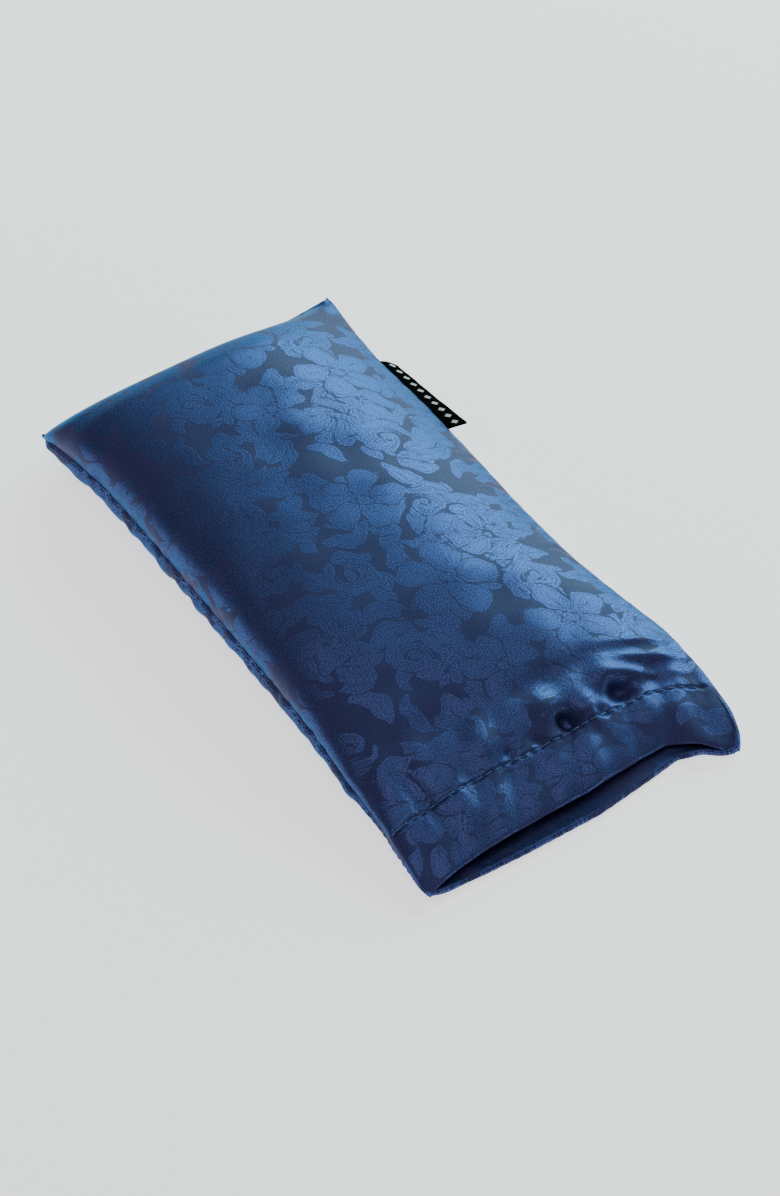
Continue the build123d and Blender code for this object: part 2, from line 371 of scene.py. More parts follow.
def spline_matrix(coarse, places):
    """A matrix that reads a smooth curve through coarse values at fractional places."""
    base = np.clip(np.floor(places).astype(int), 0, coarse - 2)
    f = places - base
    weights = np.stack([
        -0.5 * f + f ** 2 - 0.5 * f ** 3,
        1 - 2.5 * f ** 2 + 1.5 * f ** 3,
        0.5 * f + 2 * f ** 2 - 1.5 * f ** 3,
        -0.5 * f ** 2 + 0.5 * f ** 3,
    ])
    matrix = np.zeros((len(places), coarse))
    for k in range(4):
        at = np.clip(base + k - 1, 0, coarse - 1)
        np.add.at(matrix, (np.arange(len(places)), at), weights[k])
    return matrix


def grid_normals(p):
    """Unit normals of a grid of points, pointing to the side where rows cross columns upwards."""
    normal = np.cross(np.gradient(p, axis=0), np.gradient(p, axis=1))
    return normal / (np.linalg.norm(normal, axis=-1, keepdims=True) + 1e-12)


def grid_faces(rows, columns, start=0, flip=False):
    """Quads of a grid whose points are numbered row by row."""
    at = start + np.arange(rows * columns).reshape(rows, columns)
    quads = np.stack([at[:-1, :-1], at[1:, :-1], at[1:, 1:], at[:-1, 1:]], -1).reshape(-1, 4)
    return quads[:, ::-1] if flip else quads


def ring(rows, columns):
    """Grid indices once round the border of a grid."""
    top = [(0, j) for j in range(columns - 1)]
    right = [(i, columns - 1) for i in range(rows - 1)]
    bottom = [(rows - 1, j) for j in range(columns - 1, 0, -1)]
    left = [(i, 0) for i in range(rows - 1, 0, -1)]
    return top + right + bottom + left


def new_object(name, points, faces, attributes=()):
    """A mesh object from points in millimetres, with named values at its points."""
    mesh = bpy.data.meshes.new(name)
    places = (np.asarray(points).reshape(-1, 3) * MM).tolist()
    mesh.from_pydata(places, [], [list(map(int, face)) for face in faces])
    for label, values in attributes:
        layer = mesh.attributes.new(label, "FLOAT", "POINT")
        layer.data.foreach_set("value", np.asarray(values, dtype=np.float32).ravel())
    mesh.polygons.foreach_set("use_smooth", [True] * len(mesh.polygons))
    mesh.update()
    obj = bpy.data.objects.new(name, mesh)
    bpy.context.scene.collection.objects.link(obj)
    return obj


def sheet_object(name, p, values, thickness, outwards, coarse=INNER_COARSENESS):
    """A closed sheet: a fine outer face, a coarse inner face, and a rim between them."""
    rows, columns = p.shape[:2]
    depth = outwards * np.broadcast_to(thickness, (rows, columns))[..., None] * grid_normals(p)
    inner = (p - depth)[::coarse, ::coarse]
    inner_rows, inner_columns = inner.shape[:2]
    border = ring(rows, columns)
    edge = tuple(np.array(border).T)
    first_inner = rows * columns
    first_rim = first_inner + inner_rows * inner_columns
    flip = outwards < 0
    faces = [list(f) for f in grid_faces(rows, columns, 0, flip)]
    faces += [list(f) for f in grid_faces(inner_rows, inner_columns, first_inner, not flip)]
    outer = [i * columns + j for i, j in border]
    rim = [first_rim + k for k in range(len(outer))]
    rough = [first_inner + i * inner_columns + j for i, j in ring(inner_rows, inner_columns)]
    sides = [(outer[k - 1], outer[k], rim[k], rim[k - 1]) for k in range(len(outer))]
    half = coarse // 2
    for k, here in enumerate(rough):
        there = rough[(k + 1) % len(rough)]
        run = [rim[(k * coarse + m) % len(rim)] for m in range(coarse + 1)]
        sides += [(run[m], run[m + 1], here if m < half else there) for m in range(coarse)]
        sides.append((run[half], there, here))
    faces += [side[::-1] if flip else side for side in sides]
    points = np.concatenate([p.reshape(-1, 3), inner.reshape(-1, 3), (p - RIM_SHARE * depth)[edge]])
    attributes = [(label, np.concatenate([value.ravel(), value[::coarse, ::coarse].ravel(), value[edge]]))
                  for label, value in values.items()]
    return new_object(name, points, faces, attributes)


# ---------------------------------------------------------------- damask

TILE_X = 128.0
TILE_Y = 112.0
TILE_STEP = 0.4
BOTTOM_PATTERN_SHIFT = 37.0


def spiral(cx, cy, radius, turns, start, inner=0.15):
    """Points along a volute that winds inwards from radius."""
    t = np.linspace(0, 1, 60)
    r = radius * (1 - (1 - inner) * t ** 0.8)
    angle = start + turns * 2 * pi * t
    return np.stack([cx + r * np.cos(angle), cy + r * np.sin(angle)], -1)


def leaf(x, y, angle, length, width, bend=0.3, full=0.5):
    """A teardrop leaf from its stalk, as centres and radii; full moves its widest place outwards."""
    t = np.linspace(0, 1, 30)
    turn = angle + bend * (t - 0.5) * 2
    step = length / len(t)
    path = np.stack([x + np.cumsum(np.cos(turn)) * step, y + np.cumsum(np.sin(turn)) * step], -1)
    radius = 0.5 * width * np.sin(pi * np.clip(0.04 + 0.95 * t, 0, 1) ** (0.35 + full)) ** 0.8
    return path, np.maximum(radius, 0.25)


def acanthus(x, y, angle, length, bend, lobes=3):
    """A curled leaf of flame-shaped lobes that overlap down both sides of its spine."""
    t = np.linspace(0, 1, 40)
    turn = angle + bend * (t - 0.3) * 1.6
    step = length * 0.8 / len(t)
    spine = np.stack([x + np.cumsum(np.cos(turn)) * step, y + np.cumsum(np.sin(turn)) * step], -1)
    shapes = []
    for k in range(lobes):
        at = 0.12 + 0.62 * k / lobes
        i = int(at * 39)
        size = length * (0.50 - 0.10 * at)
        for side in (-1, 1):
            lean = turn[i] + side * (1.15 - 0.55 * at)
            shapes.append(leaf(*spine[i], lean, size, 0.42 * size, -side * 0.75, 0.9))
    shapes.append(leaf(*spine[22], turn[22], 0.52 * length, 0.26 * length, 1.0 * bend, 0.7))
    return shapes


def flower(x, y, size, angle):
    """Five notched petals round a small centre."""
    shapes = []
    for k in range(5):
        a = angle + k * 2 * pi / 5
        for side in (-1, 1):
            shapes.append(leaf(x + 0.1 * size * cos(a), y + 0.1 * size * sin(a), a + side * 0.16,
                               0.47 * size, 0.42 * size, side * 0.3, 1.1))
    for k in range(5):
        a = angle + (k + 0.5) * 2 * pi / 5
        shapes.append(leaf(x, y, a, 0.2 * size, 0.09 * size, 0.0))
    shapes.append((np.array([[x, y]]), np.array([0.09 * size])))
    return shapes


def volute(x, y, radius, start, hand):
    """A scroll that winds inwards, with a thinner scroll beside it and a round eye."""
    outer = spiral(x, y, radius, 1.25 * hand, start)
    inner = spiral(x, y, radius * 0.62, 0.8 * hand, start + 0.5 * hand, 0.3)
    return [
        (outer, np.interp(np.linspace(0, 1, len(outer)), [0, 0.3, 1], [0.12, 0.27, 0.14]) * radius),
        (inner, np.interp(np.linspace(0, 1, len(inner)), [0, 0.5, 1], [0.05, 0.13, 0.08]) * radius),
        (outer[-1:], np.array([0.2 * radius])),
    ]


# The motifs of one repeat. Each curled leaf: x, y, angle, length, bend
LEAVES = [
    (8, 20, 0.3, 34, 0.7), (44, 14, 2.4, 30, -0.8), (70, 22, 0.1, 36, 0.6), (104, 10, 1.1, 30, 0.8),
    (120, 40, 2.6, 34, 0.7), (88, 50, -2.7, 32, -0.7), (60, 44, 2.0, 34, 0.8), (26, 52, -0.4, 34, 0.8),
    (4, 66, 1.0, 32, -0.8), (36, 78, 2.9, 34, 0.7), (64, 74, 0.4, 34, -0.7), (98, 74, 1.9, 32, 0.8),
    (116, 92, -0.5, 34, 0.7), (82, 98, 2.7, 34, -0.7), (48, 100, 0.7, 32, 0.8), (18, 100, -2.2, 34, 0.8),
    (30, 32, -1.9, 26, 0.8), (92, 32, -1.3, 26, -0.8), (74, 86, -1.6, 26, 0.7), (14, 86, 2.2, 24, -0.7),
]
# Each flower: x, y, size, angle
FLOWERS = [
    (24, 66, 25, 0.2), (90, 14, 24, 0.9), (60, 60, 19, 0.5),
    (110, 62, 22, 0.1), (52, 90, 23, 0.7), (8, 6, 20, 0.4),
]
# Each scroll: x, y, radius, start angle, hand
SCROLLS = [
    (44, 40, 10, 0.4, 1), (74, 36, 8, 2.6, -1), (8, 44, 9, 3.6, 1), (34, 92, 9, 5.2, -1),
    (88, 84, 10, 1.2, 1), (120, 78, 8, 4.1, -1), (60, 8, 8, 0.9, -1), (122, 24, 9, 2.2, 1),
]
# The small leaves that fill in underneath
UNDER_ROWS = 10
UNDER_COLUMNS = 9


def damask_shapes():
    """Every motif of one repeat, in the order they are laid over each other."""
    rng = np.random.default_rng(11)
    shapes = []
    for cell in range(UNDER_ROWS * UNDER_COLUMNS):
        x = (cell % UNDER_ROWS + 0.5 + rng.uniform(-0.4, 0.4)) * TILE_X / UNDER_ROWS
        y = (cell // UNDER_ROWS + 0.5 + rng.uniform(-0.4, 0.4)) * TILE_Y / UNDER_COLUMNS
        angle, bend = rng.uniform(0, 2 * pi), rng.uniform(0.5, 1.1) * rng.choice([-1, 1])
        shapes.append(leaf(x, y, angle, rng.uniform(13, 19), rng.uniform(5.0, 7.5), bend, 0.8))
    for x, y, angle, length, bend in LEAVES:
        shapes += acanthus(x, y, angle, length, bend)
    for scroll in SCROLLS:
        shapes += volute(*scroll)
    for bloom in FLOWERS:
        shapes += flower(*bloom)
    return shapes


def damask_tile():
    """One repeat, in millimetres: distance out of the motifs, to a motif's edge and to its rib."""
    nx, ny = int(TILE_X / TILE_STEP), int(TILE_Y / TILE_STEP)
    gx, gy = np.meshgrid(np.arange(nx) * TILE_STEP, np.arange(ny) * TILE_STEP, indexing="ij")
    motif, edge, vein = np.full((3, nx, ny), 6.0)
    turn_x, turn_y = 2 * pi * gx / TILE_X, 2 * pi * gy / TILE_Y
    gx = gx + 0.5 * np.sin(13 * turn_y + 3 * turn_x) + 0.22 * np.sin(22 * turn_y - 9 * turn_x + 1)
    gy = gy + 0.5 * np.sin(15 * turn_x - 2 * turn_y) + 0.22 * np.sin(24 * turn_x + 8 * turn_y + 2)
    for path, radius in damask_shapes():
        centre = path.mean(0)
        reach = np.abs(path - centre).max() + radius.max() + 3
        dx = (gx - centre[0] + TILE_X / 2) % TILE_X - TILE_X / 2
        dy = (gy - centre[1] + TILE_Y / 2) % TILE_Y - TILE_Y / 2
        near = (np.abs(dx) < reach) & (np.abs(dy) < reach)
        px, py = dx[near][:, None], dy[near][:, None]
        away = np.hypot(px - (path[:, 0] - centre[0]), py - (path[:, 1] - centre[1]))
        shape = (away - radius).min(1)
        rib = away[:, : max(1, int(0.7 * len(path)))].min(1)
        motif[near] = np.minimum(motif[near], shape)
        edge[near] = np.where(shape < 0, -shape, np.minimum(edge[near], shape))
        vein[near] = np.where(shape < 0, rib, vein[near])
    return {"motif": motif, "edge": edge, "vein": vein}


def sample_tile(field, x, y):
    """Reads the repeating tile between its points."""
    fx, fy = (x / TILE_STEP) % field.shape[0], (y / TILE_STEP) % field.shape[1]
    i, j = np.floor(fx).astype(int), np.floor(fy).astype(int)
    u, v = fx - i, fy - j
    i2, j2 = (i + 1) % field.shape[0], (j + 1) % field.shape[1]
    i, j = i % field.shape[0], j % field.shape[1]
    low = field[i, j] * (1 - u) + field[i2, j] * u
    high = field[i, j2] * (1 - u) + field[i2, j2] * u
    return low * (1 - v) + high * v


# ---------------------------------------------------------------- materials

# Linear colours
THREAD_COLOURS = (0.034, 0.029, 0.112), (0.086, 0.124, 0.33)
GROUND_COLOURS = (0.030, 0.026, 0.095), (0.058, 0.052, 0.165)
SATIN_TINT = (0.12, 0.70, 1.0)
NAVY = (0.07, 0.13, 0.32)
CREAM = (0.55, 0.50, 0.40)
COTTON_COLOURS = (0.50, 0.44, 0.34), (0.68, 0.62, 0.51)
RIBBON_COLOURS = (0.004, 0.004, 0.004), (0.55, 0.54, 0.53)


class Shader:
    """A small helper that adds nodes and links to one material."""

    def __init__(self, name):
        self.material = bpy.data.materials.new(name)
        self.material.use_nodes = True
        self.tree = self.material.node_tree
        self.bsdf = self.tree.nodes["Principled BSDF"]

    def add(self, kind, **settings):
        """A new node with some of its settings or input values."""
        node = self.tree.nodes.new(kind)
        for key, value in settings.items():
            if hasattr(node, key):
                setattr(node, key, value)
            else:
                node.inputs[key.replace("_", " ")].default_value = value
        return node

    def link(self, source, target):
        self.tree.links.new(source, target)

    def math(self, operation, a, b=None):
        """One sum, product or the like of numbers and sockets."""
        node = self.tree.nodes.new("ShaderNodeMath")
        node.operation = operation
        for socket, value in zip(node.inputs, (a, b)):
            if value is None:
                continue
            if isinstance(value, (int, float)):
                socket.default_value = value
            else:
                self.link(value, socket)
        return node.outputs[0]

    def ramp(self, value, low, high):
        """0 at low to 1 at high."""
        node = self.tree.nodes.new("ShaderNodeMapRange")
        node.interpolation_type = "SMOOTHSTEP"
        node.inputs["From Min"].default_value = low
        node.inputs["From Max"].default_value = high
        self.link(value, node.inputs["Value"])
        return node.outputs["Result"]

    def mix(self, factor, a, b):
        """A colour between a and b, each a colour or a socket."""
        node = self.tree.nodes.new("ShaderNodeMix")
        node.data_type = "RGBA"
        self.link(factor, node.inputs["Factor"])
        colours = [k for k in node.inputs if k.type == "RGBA"]
        for socket, value in zip(colours, (a, b)):
            if isinstance(value, tuple):
                socket.default_value = value + (1,)
            else:
                self.link(value, socket)
        return [k for k in node.outputs if k.type == "RGBA"][0]

    def emboss(self, height, strength):
        """Raises the surface by a height socket."""
        node = self.add("ShaderNodeBump", Strength=strength, Distance=0.001)
        self.link(height, node.inputs["Height"])
        self.link(node.outputs[0], self.bsdf.inputs["Normal"])

    def set(self, **values):
        """Sets plain numbers on the shader's sockets."""
        for key, value in values.items():
            self.bsdf.inputs[key.replace("_", " ")].default_value = value

    def attribute(self, name):
        """The values of this name at the mesh's points."""
        return self.add("ShaderNodeAttribute", attribute_name=name).outputs["Fac"]


def satin(name):
    """Blue damask satin: shiny motifs on a duller dark ground."""
    m = Shader(name)
    u, v = m.attribute("u"), m.attribute("v")
    motif = m.attribute("motif")
    edge = m.attribute("edge")
    vein = m.attribute("vein")
    flat = m.add("ShaderNodeCombineXYZ")
    m.link(u, flat.inputs[0])
    m.link(v, flat.inputs[1])
    grain = m.add("ShaderNodeTexNoise", Scale=2.9, Detail=2.0)
    m.link(flat.outputs[0], grain.inputs["Vector"])
    speck = m.ramp(grain.outputs["Fac"], 0.40, 0.62)
    inside = m.ramp(motif, 0.05, -0.15)
    outline = m.ramp(edge, 0.34, 0.16)
    contour = m.math("SUBTRACT", m.ramp(edge, 0.8, 0.95), m.ramp(edge, 1.1, 1.25))
    rib = m.ramp(vein, 0.4, 0.2)
    line = m.math("MAXIMUM", m.math("MULTIPLY", contour, 0.45), m.math("MULTIPLY", rib, 0.7))
    line = m.math("MAXIMUM", line, m.math("MULTIPLY", outline, 0.95))
    shine = m.math("MULTIPLY", inside, m.math("SUBTRACT", 1.0, line))
    thread = m.mix(speck, *THREAD_COLOURS)
    ground = m.mix(speck, *GROUND_COLOURS)
    m.link(m.mix(shine, ground, thread), m.bsdf.inputs["Base Color"])
    m.link(m.math("ADD", 0.08, m.math("MULTIPLY", shine, 0.67)), m.bsdf.inputs["Metallic"])
    m.set(Specular_Tint=SATIN_TINT + (1,), Specular_IOR_Level=0.18)
    m.link(m.math("SUBTRACT", 0.52, m.math("MULTIPLY", shine, 0.12)), m.bsdf.inputs["Roughness"])
    height = m.math("ADD", m.math("MULTIPLY", shine, 0.05), m.math("MULTIPLY", grain.outputs["Fac"], 0.12))
    m.emboss(height, 0.5)
    return m.material


def cotton(name):
    """Undyed cotton: a plain weave with the seeds pressing through a little."""
    m = Shader(name)
    place = m.add("ShaderNodeTexCoord").outputs["Object"]
    seeds = m.add("ShaderNodeTexVoronoi", Scale=330.0)
    m.link(place, seeds.inputs["Vector"])
    weave = m.add("ShaderNodeTexNoise", Scale=2600.0, Detail=2.0)
    m.link(place, weave.inputs["Vector"])
    m.link(m.mix(m.ramp(weave.outputs["Fac"], 0.35, 0.65), *COTTON_COLOURS), m.bsdf.inputs["Base Color"])
    m.set(Roughness=0.9, Specular_IOR_Level=0.2)
    seed_height = m.math("MULTIPLY", seeds.outputs["Distance"], -0.6)
    weave_height = m.math("MULTIPLY", weave.outputs["Fac"], 0.2)
    m.emboss(m.math("ADD", seed_height, weave_height), 0.35)
    return m.material


def ribbon(name):
    """Black woven ribbon with a row of small pale lozenges."""
    m = Shader(name)
    along = m.math("SUBTRACT", m.math("FRACT", m.math("DIVIDE", m.attribute("u"), LOZENGE_STEP)), 0.5)
    along = m.math("ABSOLUTE", m.math("MULTIPLY", along, LOZENGE_STEP))
    across = m.math("ABSOLUTE", m.math("SUBTRACT", m.attribute("v"), LABEL_REACH * 0.62))
    lozenge = m.ramp(m.math("ADD", along, across), 1.15, 0.85)
    m.link(m.mix(lozenge, *RIBBON_COLOURS), m.bsdf.inputs["Base Color"])
    m.set(Roughness=1.0, Specular_IOR_Level=0.0)
    return m.material


def plain(name, colour, roughness):
    """One colour all over."""
    m = Shader(name)
    m.set(Base_Color=colour + (1,), Roughness=roughness)
    return m.material


# ---------------------------------------------------------------- pieces

# CAD nodes inside the cover, which the bottom panel stands for
INNER_EDGES = ["cover_near_seam_allowance", "cover_far_seam_allowance", "cover_end_seam_allowance",
               "cover_end_seam_thread"]
# CAD nodes that the pouch's skin stands for
POUCH_NODES = ["pouch_top_panel", "pouch_bottom_panel", "pouch_near_seam_allowance",
               "pouch_far_seam_allowance", "pouch_end_seam_allowance", "seed_filling",
               "pouch_near_seam_thread", "pouch_far_seam_thread", "pouch_end_seam_thread"]


# Rise of a stitch above the cloth at stations along it, in thread radii, and the thread's facets
STITCH_RISE = (-1.6, 0.5, 0.9, 0.5, -1.6)
STITCH_SIDES = 6


def finish_piece(piece, material, slot, *nodes):
    """Gives a piece its material and hides the CAD nodes that it stands for; slot is not used."""
    piece.data.materials.append(material)
    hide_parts(*nodes)


def flatten(piece):
    """Hangs a piece on the cover's body and gives it a mesh of its own."""
    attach(piece, "cover")
    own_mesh(piece)


def soften(p, times):
    """Evens out a grid of points, its border too, without moving its corners."""
    for _ in range(times):
        p[:, 1:-1] = 0.5 * p[:, 1:-1] + 0.25 * (p[:, 2:] + p[:, :-2])
        p[:, :, 1:-1] = 0.5 * p[:, :, 1:-1] + 0.25 * (p[:, :, 2:] + p[:, :, :-2])


def pouch_fullness():
    """How full the pouch is at each point, 0 at its sewn edge, and the distance to that edge."""
    a = np.abs(np.linspace(-1, 1, POUCH_ROWS))[:, None]
    b = np.abs(np.linspace(-1, 1, POUCH_COLUMNS))[None]
    past_a = np.maximum(a * POUCH_HALF_LENGTH - (POUCH_HALF_LENGTH - POUCH_CORNER), 0)
    past_b = np.maximum(b * POUCH_HALF_WIDTH - (POUCH_HALF_WIDTH - POUCH_CORNER), 0)
    corner = np.hypot(past_a, past_b)
    edge = np.minimum((1 - a) * POUCH_HALF_LENGTH, (1 - b) * POUCH_HALF_WIDTH)
    edge = np.where(corner > 0, np.minimum(edge, POUCH_CORNER - corner), edge)
    return np.sqrt(np.clip((edge - POUCH_FLANGE) / POUCH_SHOULDER, 0, 1)), edge


def pouch_layers(cover):
    """The top and bottom of the pouch, as grids of points just inside the cover."""
    first = POUCH_FROM_END / SIM_STEP
    last = (HEM_LINE - POUCH_FROM_HEM) / SIM_STEP
    side = POUCH_FROM_SIDE * (cover.shape[2] - 1)
    along = spline_matrix(cover.shape[1], np.linspace(first, last, POUCH_ROWS))
    across = spline_matrix(cover.shape[2], np.linspace(side, cover.shape[2] - 1 - side, POUCH_COLUMNS))
    skin = np.einsum("ij,pjkc,lk->pilc", along, cover, across)
    soften(skin, 6)
    middle = skin.mean(0)
    full, edge = pouch_fullness()
    reach = np.linalg.norm(skin - middle, axis=-1)
    keep = np.clip(1 - POUCH_GAP / np.maximum(reach, 1e-3), 0.0, 1.0) * full
    layers = middle + (skin - middle) * keep[..., None]
    centre_y = layers[..., 1].mean(-1, keepdims=True)
    layers[..., 1] = centre_y + (layers[..., 1] - centre_y) * POUCH_WIDTH_SHARE
    x, y = middle[..., 0], middle[..., 1]
    lumps = 0.3 * wander(x + 0.3 * y, (7.3, 11.0), 41) * wander(y - 0.3 * x, (6.1, 9.7), 43) * full
    ripple = 0.5 * wander(x + y, (6.7, 10.3), 45) * smooth(edge, 12.0, 3.0) * smooth(edge, 0.0, 3.0)
    layers[0, ..., 2] += POUCH_SWELL * full + lumps + ripple
    layers[1, ..., 2] -= POUCH_SWELL * full - ripple
    layers[0, 1:-1, 1:-1, 2] += POUCH_SWELL
    layers[1, 1:-1, 1:-1, 2] -= POUCH_SWELL
    return layers


def build_pouch(cover):
    """The inner pouch: a filled cotton pillow that takes up the room inside the cover."""
    layers = pouch_layers(cover)
    faces = list(grid_faces(POUCH_ROWS, POUCH_COLUMNS))
    faces += list(grid_faces(POUCH_ROWS, POUCH_COLUMNS, POUCH_ROWS * POUCH_COLUMNS, True))
    piece = new_object("pouch", layers, faces)
    weld(piece)
    finish_piece(piece, cotton("natural_cotton"), "natural_cotton", *POUCH_NODES)
    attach(piece, "insert")
    close_pouch(layers[0])


def close_pouch(top):
    """The hand-sewn row that closes the pouch's filling end."""
    row, margin = -4, 12
    path = top[row, margin:-margin]
    normal = grid_normals(top)[row, margin:-margin]
    piece = stitches("pouch_closing_stitching", path, normal, 2.6, 1.2, 0.18)
    finish_piece(piece, plain("cream_thread", CREAM, 0.7), "cream_thread", "pouch_closing_stitch")
    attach(piece, "insert")


def weld(piece):
    """Merges the points that lie in the same place."""
    mesh = bmesh.new()
    mesh.from_mesh(piece.data)
    bmesh.ops.remove_doubles(mesh, verts=mesh.verts, dist=1e-6)
    mesh.to_mesh(piece.data)
    mesh.free()


def build_label(cover):
    """The black woven label, folded in two and sewn into the far seam."""
    seam = cover[0][:, -1]
    start = int(np.argmin(np.abs(seam[:, 0] - LABEL_START)))
    end = int(np.argmin(np.abs(seam[:, 0] - LABEL_START - LABEL_LENGTH)))
    line = spline_matrix(len(seam), np.linspace(start, end, LABEL_ROWS)) @ seam
    u, w = np.meshgrid(np.linspace(0, 1, LABEL_ROWS), np.linspace(0, 1, LABEL_COLUMNS), indexing="ij")
    reach = w * (LABEL_REACH + LABEL_TUCK) - LABEL_TUCK
    x = line[:, :1] + 0.8 * w
    y = line[:, 1:2] + reach * (0.93 + 0.06 * u)
    z = line[:, 2:] + 0.4 - (5.2 - 4.6 * u) * w ** 1.6 + 0.35 * np.sin(6 * u + 1) * w
    values = {"u": u * LABEL_LENGTH, "v": w * LABEL_REACH}
    piece = sheet_object("label", np.stack([x, y, z], -1), values, LABEL_THICKNESS, 1, coarse=1)
    finish_piece(piece, ribbon("black_ribbon"), "black_woven_ribbon", "side_label")
    flatten(piece)


def stitches(name, path, up, length, gap, radius):
    """A row of short raised threads along a path of points on the cloth, as one object."""
    along = np.concatenate([[0], np.cumsum(np.linalg.norm(np.diff(path, axis=0), axis=1))])
    stations = np.linspace(0, 1, len(STITCH_RISE))
    lift = np.array(STITCH_RISE) * radius
    angles = [side * 2 * pi / STITCH_SIDES for side in range(STITCH_SIDES)]
    points, faces = [], []
    for start in np.arange(0.5, along[-1] - length, length + gap):
        places = start + stations * length
        line = np.stack([np.interp(places, along, path[:, k]) for k in range(3)], -1)
        normal = np.stack([np.interp(places, along, up[:, k]) for k in range(3)], -1)
        normal /= np.linalg.norm(normal, axis=-1, keepdims=True)
        side = np.cross(np.gradient(line, axis=0), normal)
        side /= np.linalg.norm(side, axis=-1, keepdims=True) + 1e-9
        centre = line + lift[:, None] * normal
        first = len(points)
        for k in range(len(stations)):
            points += [centre[k] + radius * (cos(a) * side[k] + sin(a) * normal[k]) for a in angles]
        for at in range(first, len(points) - STITCH_SIDES, STITCH_SIDES):
            for corner in range(STITCH_SIDES):
                here, after = at + corner, at + (corner + 1) % STITCH_SIDES
                faces.append([here, after, after + STITCH_SIDES, here + STITCH_SIDES])
        faces.append(list(range(first, first + STITCH_SIDES))[::-1])
        faces.append(list(range(len(points) - STITCH_SIDES, len(points))))
    return new_object(name, points, faces)


def row_path(panel, row, reach):
    """Points and normals along one fractional row of a panel, out to a share of its half width."""
    columns = panel.shape[1]
    middle = (columns - 1) / 2
    places = np.linspace(middle * (1 - reach), middle * (1 + reach), 3 * columns)
    rows = spline_matrix(panel.shape[0], np.array([row]))
    across = spline_matrix(columns, places)
    normal = grid_normals(panel)
    return [across @ (rows @ grid.transpose(2, 0, 1))[:, 0].T for grid in (panel, normal)]


def build_stitches(cover):
    """The stitching that shows: along both hems and along the seams."""
    thread = plain("navy_thread", NAVY, 0.5)
    hem_row = HEM_LINE / FLAT_LENGTH * (cover.shape[1] - 1)
    for panel, side, name in ((cover[0], 1, "top"), (cover[1], -1, "bottom")):
        path, normal = row_path(panel, hem_row, 0.96)
        piece = stitches(f"hem_stitching_{name}", path, side * normal, 2.6, 0.9, 0.15)
        finish_piece(piece, thread, "navy_thread", f"hem_stitches_{name}")
        flatten(piece)
    along = spline_matrix(cover.shape[1], np.linspace(2, cover.shape[1] - 2, 4 * cover.shape[1]))
    for seam, beside, name in ((0, 1, "near"), (-1, -2, "far")):
        path = along @ (cover[1][:, beside] * 0.7 + cover[1][:, seam] * 0.3)
        normal = along @ -grid_normals(cover[1])[:, beside]
        piece = stitches(f"seam_stitching_{name}", path, normal, 2.4, 0.5, 0.17)
        finish_piece(piece, thread, "navy_thread", f"cover_{name}_seam_thread")
        flatten(piece)


def dimples(x, y):
    """The hollows that the hem stitching pulls, and the ripples that run from them to the far corner."""
    run_x, run_y = RIPPLE_RUN
    along, across = run_y * y + run_x * x, run_y * x - run_x * y
    ripples = sum(height * bump(along, across, 66, place, 11.0, 1.5) for place, height in RIPPLES)
    return bumps(x, y, HOLLOWS) + ripples


def fine_creases(u, w, upper):
    """How far the fine cloth is pushed out, in millimetres: puckers at the seams and the hem stitching."""
    from_seam = FLAT_WIDTH / 2 - np.abs(w)
    near = w < 0
    strength = np.where(near, 0.34, 0.26) * (0.6 if upper else 1.5)
    pucker = wander(u + 0.5 * from_seam, (9.1, 14.3, 23.0, 37.0), 21) * np.exp(-from_seam / 5.5)
    pucker = pucker * smooth(from_seam, 0.2, 2.0) * strength * smooth(u, 4, 16)
    line = u - HEM_LINE
    gather = wander(w + 0.2 * line, (4.1, 6.7, 10.3), 23) * np.exp(-np.abs(line) / 4.5)
    trench = -0.55 * np.exp(-(line / 0.8) ** 2)
    beads = 0.16 * np.cos(2 * pi * w / 3.5) * np.exp(-(line / 1.6) ** 2)
    end = 0.25 * wander(w, (6.1, 9.7), 25) * np.exp(-u / 4.0) * smooth(u, 0.2, 2.0)
    roll = -0.5 * HEM_THICKNESS * smooth(u, FLAT_LENGTH - 1.6, FLAT_LENGTH) ** 2
    ease = smooth(from_seam, 0.5, 4.0)
    return pucker + roll + ease * (0.22 * gather + trench + beads + end)


def fine_panel(panel, along, across, u, w, upper):
    """A settled panel read finely, with its small creases pushed in."""
    fine = np.einsum("ij,jkc,lk->ilc", along, panel, across)
    push = fine_creases(u, w, upper)
    if upper:
        push += dimples(fine[..., 0], fine[..., 1])
    fine += (1 if upper else -1) * push[..., None] * grid_normals(fine)
    fine[..., 2] = np.maximum(fine[..., 2], FLOOR_CLEARANCE)
    return fine


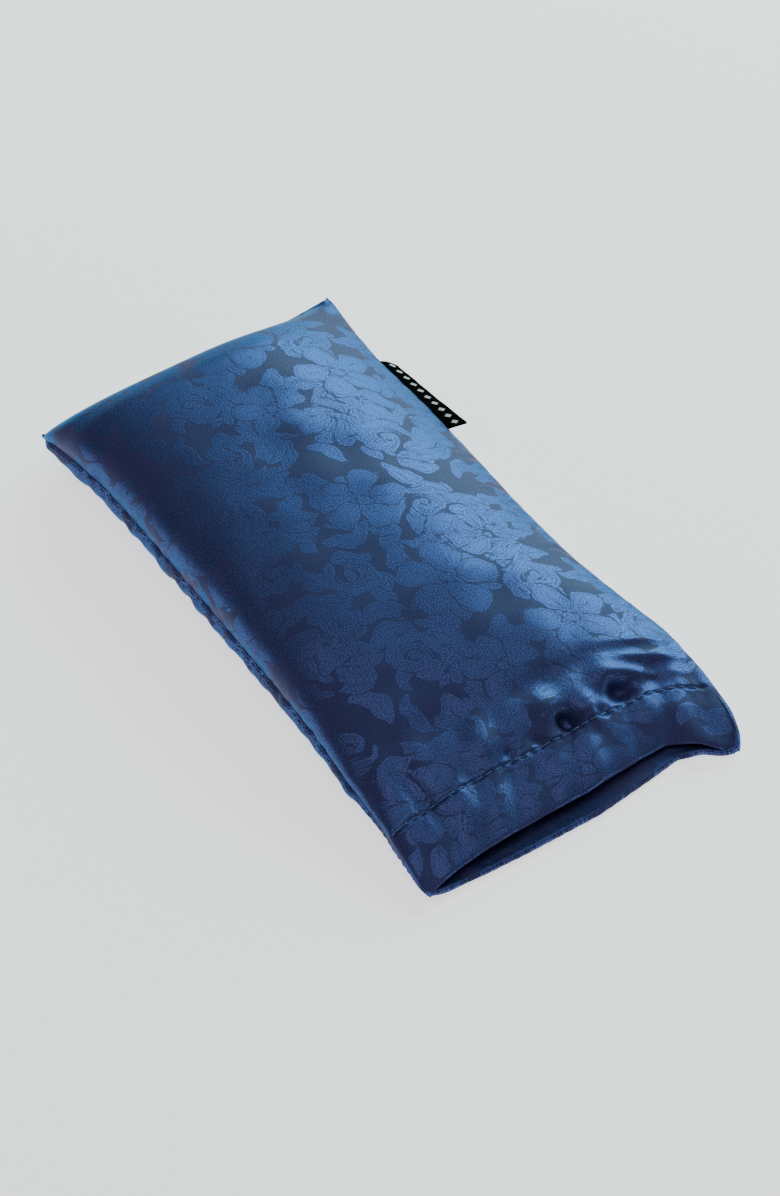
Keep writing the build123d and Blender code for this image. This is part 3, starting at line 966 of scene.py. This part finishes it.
def build_cover():
    """The two damask panels, sewn together; returns the settled cloth as two grids of points."""
    p = settle(FULL_STEPS)
    rows = int(round(FLAT_LENGTH / FINE_STEP / INNER_COARSENESS)) * INNER_COARSENESS + 1
    columns = int(round(FLAT_WIDTH / FINE_STEP / INNER_COARSENESS)) * INNER_COARSENESS + 1
    along = spline_matrix(p.shape[1], np.linspace(0, p.shape[1] - 1, rows))
    across = spline_matrix(p.shape[2], np.linspace(0, p.shape[2] - 1, columns))
    u = np.repeat(np.linspace(0, FLAT_LENGTH, rows)[:, None], columns, 1)
    w = np.repeat(np.linspace(-FLAT_WIDTH / 2, FLAT_WIDTH / 2, columns)[None], rows, 0)
    thickness = FABRIC + (HEM_THICKNESS - FABRIC) * smooth(u, HEM_LINE - 2, HEM_LINE + 2)
    tile = damask_tile()
    cloth = satin("blue_damask_satin")
    panels = (("top_panel", 1, 0.0, []), ("bottom_panel", -1, BOTTOM_PATTERN_SHIFT, INNER_EDGES))
    for panel, (name, outwards, shift, inner) in zip(p, panels):
        fine = fine_panel(panel, along, across, u, w, outwards > 0)
        pattern_x, pattern_y = u + shift, w + TILE_Y / 2 + shift
        values = {key: sample_tile(field, pattern_x, pattern_y) for key, field in tile.items()}
        values.update(u=u, v=w)
        piece = sheet_object(name, fine, values, thickness, outwards)
        finish_piece(piece, cloth, "blue_damask_satin", f"cover_{name}", *inner)
        flatten(piece)
    return p


# ---------------------------------------------------------------- studio

# Angles in degrees, turned about z from -y; lengths in metres
CAMERA_AZIMUTH = 57.1
CAMERA_ELEVATION = 46.45
CAMERA_DISTANCE = 2.4
CAMERA_TARGET = (0, 0, 0.010)
SENSOR_HEIGHT = 24.0
VIEW_HEIGHT = 0.36024
VIEW_SHIFT = (0.00711, -0.01873)
WORLD_STRENGTH = 0.15
KEY_COLOUR = (0.62, 1.0, 0.98)
FLOOR_SIZE = 6000.0
FLOOR_COLOUR = (0.86, 0.86, 0.86)
FLOOR_GLOW = 1.2


def add_object(name, data, azimuth, elevation, distance, target=(0, 0, 0)):
    """A camera or light that looks at the target from an angle and a distance."""
    obj = bpy.data.objects.new(name, data)
    bpy.context.scene.collection.objects.link(obj)
    a, e = radians(azimuth), radians(elevation)
    towards = np.array([sin(a) * cos(e), -cos(a) * cos(e), sin(e)])
    obj.location = np.array(target) + distance * towards
    obj.rotation_euler = (pi / 2 - e, 0, a)
    return obj


def camera():
    """The camera, at the photograph's angle."""
    data = bpy.data.cameras.new("camera")
    data.sensor_fit = "VERTICAL"
    data.sensor_height = SENSOR_HEIGHT
    data.lens = SENSOR_HEIGHT * CAMERA_DISTANCE / VIEW_HEIGHT
    data.shift_x, data.shift_y = VIEW_SHIFT
    data.clip_end = 20
    obj = add_object("camera", data, CAMERA_AZIMUTH, CAMERA_ELEVATION, CAMERA_DISTANCE, CAMERA_TARGET)
    bpy.context.scene.camera = obj


def area_light(name, azimuth, elevation, distance, size, power, colour=(1, 1, 1)):
    """A soft rectangular lamp that faces the object."""
    data = bpy.data.lights.new(name, "AREA")
    data.shape = "RECTANGLE"
    data.size, data.size_y = size
    data.energy = power
    data.color = colour
    add_object(name, data, azimuth, elevation, distance)


def studio():
    """A pale glowing floor, a dim world, a low key light behind and a soft one overhead."""
    world = bpy.data.worlds.new("studio")
    world.use_nodes = True
    background = world.node_tree.nodes["Background"]
    background.inputs["Color"].default_value = (1, 1, 1, 1)
    background.inputs["Strength"].default_value = WORLD_STRENGTH
    bpy.context.scene.world = world
    area_light("key", 210, 22, 1.5, (1.5, 0.8), 30, KEY_COLOUR)
    area_light("overhead", 57, 80, 2.2, (2.0, 2.0), 13)
    corners = [[-FLOOR_SIZE, -FLOOR_SIZE, 0], [FLOOR_SIZE, -FLOOR_SIZE, 0],
               [FLOOR_SIZE, FLOOR_SIZE, 0], [-FLOOR_SIZE, FLOOR_SIZE, 0]]
    floor = new_object("floor", corners, [[0, 1, 2, 3]])
    m = Shader("floor")
    m.set(Base_Color=FLOOR_COLOUR + (1,), Roughness=0.9)
    m.set(Emission_Color=(1, 1, 1, 1), Emission_Strength=FLOOR_GLOW)
    floor.data.materials.append(m.material)
    floor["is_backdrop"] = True


camera()
studio()
cover = build_cover()
build_pouch(cover)
build_label(cover)
build_stitches(cover)
size = {"cad": CAD_BOX, "visual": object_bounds()}
size = {key: [list(map(float, corner)) for corner in box] for key, box in size.items()}
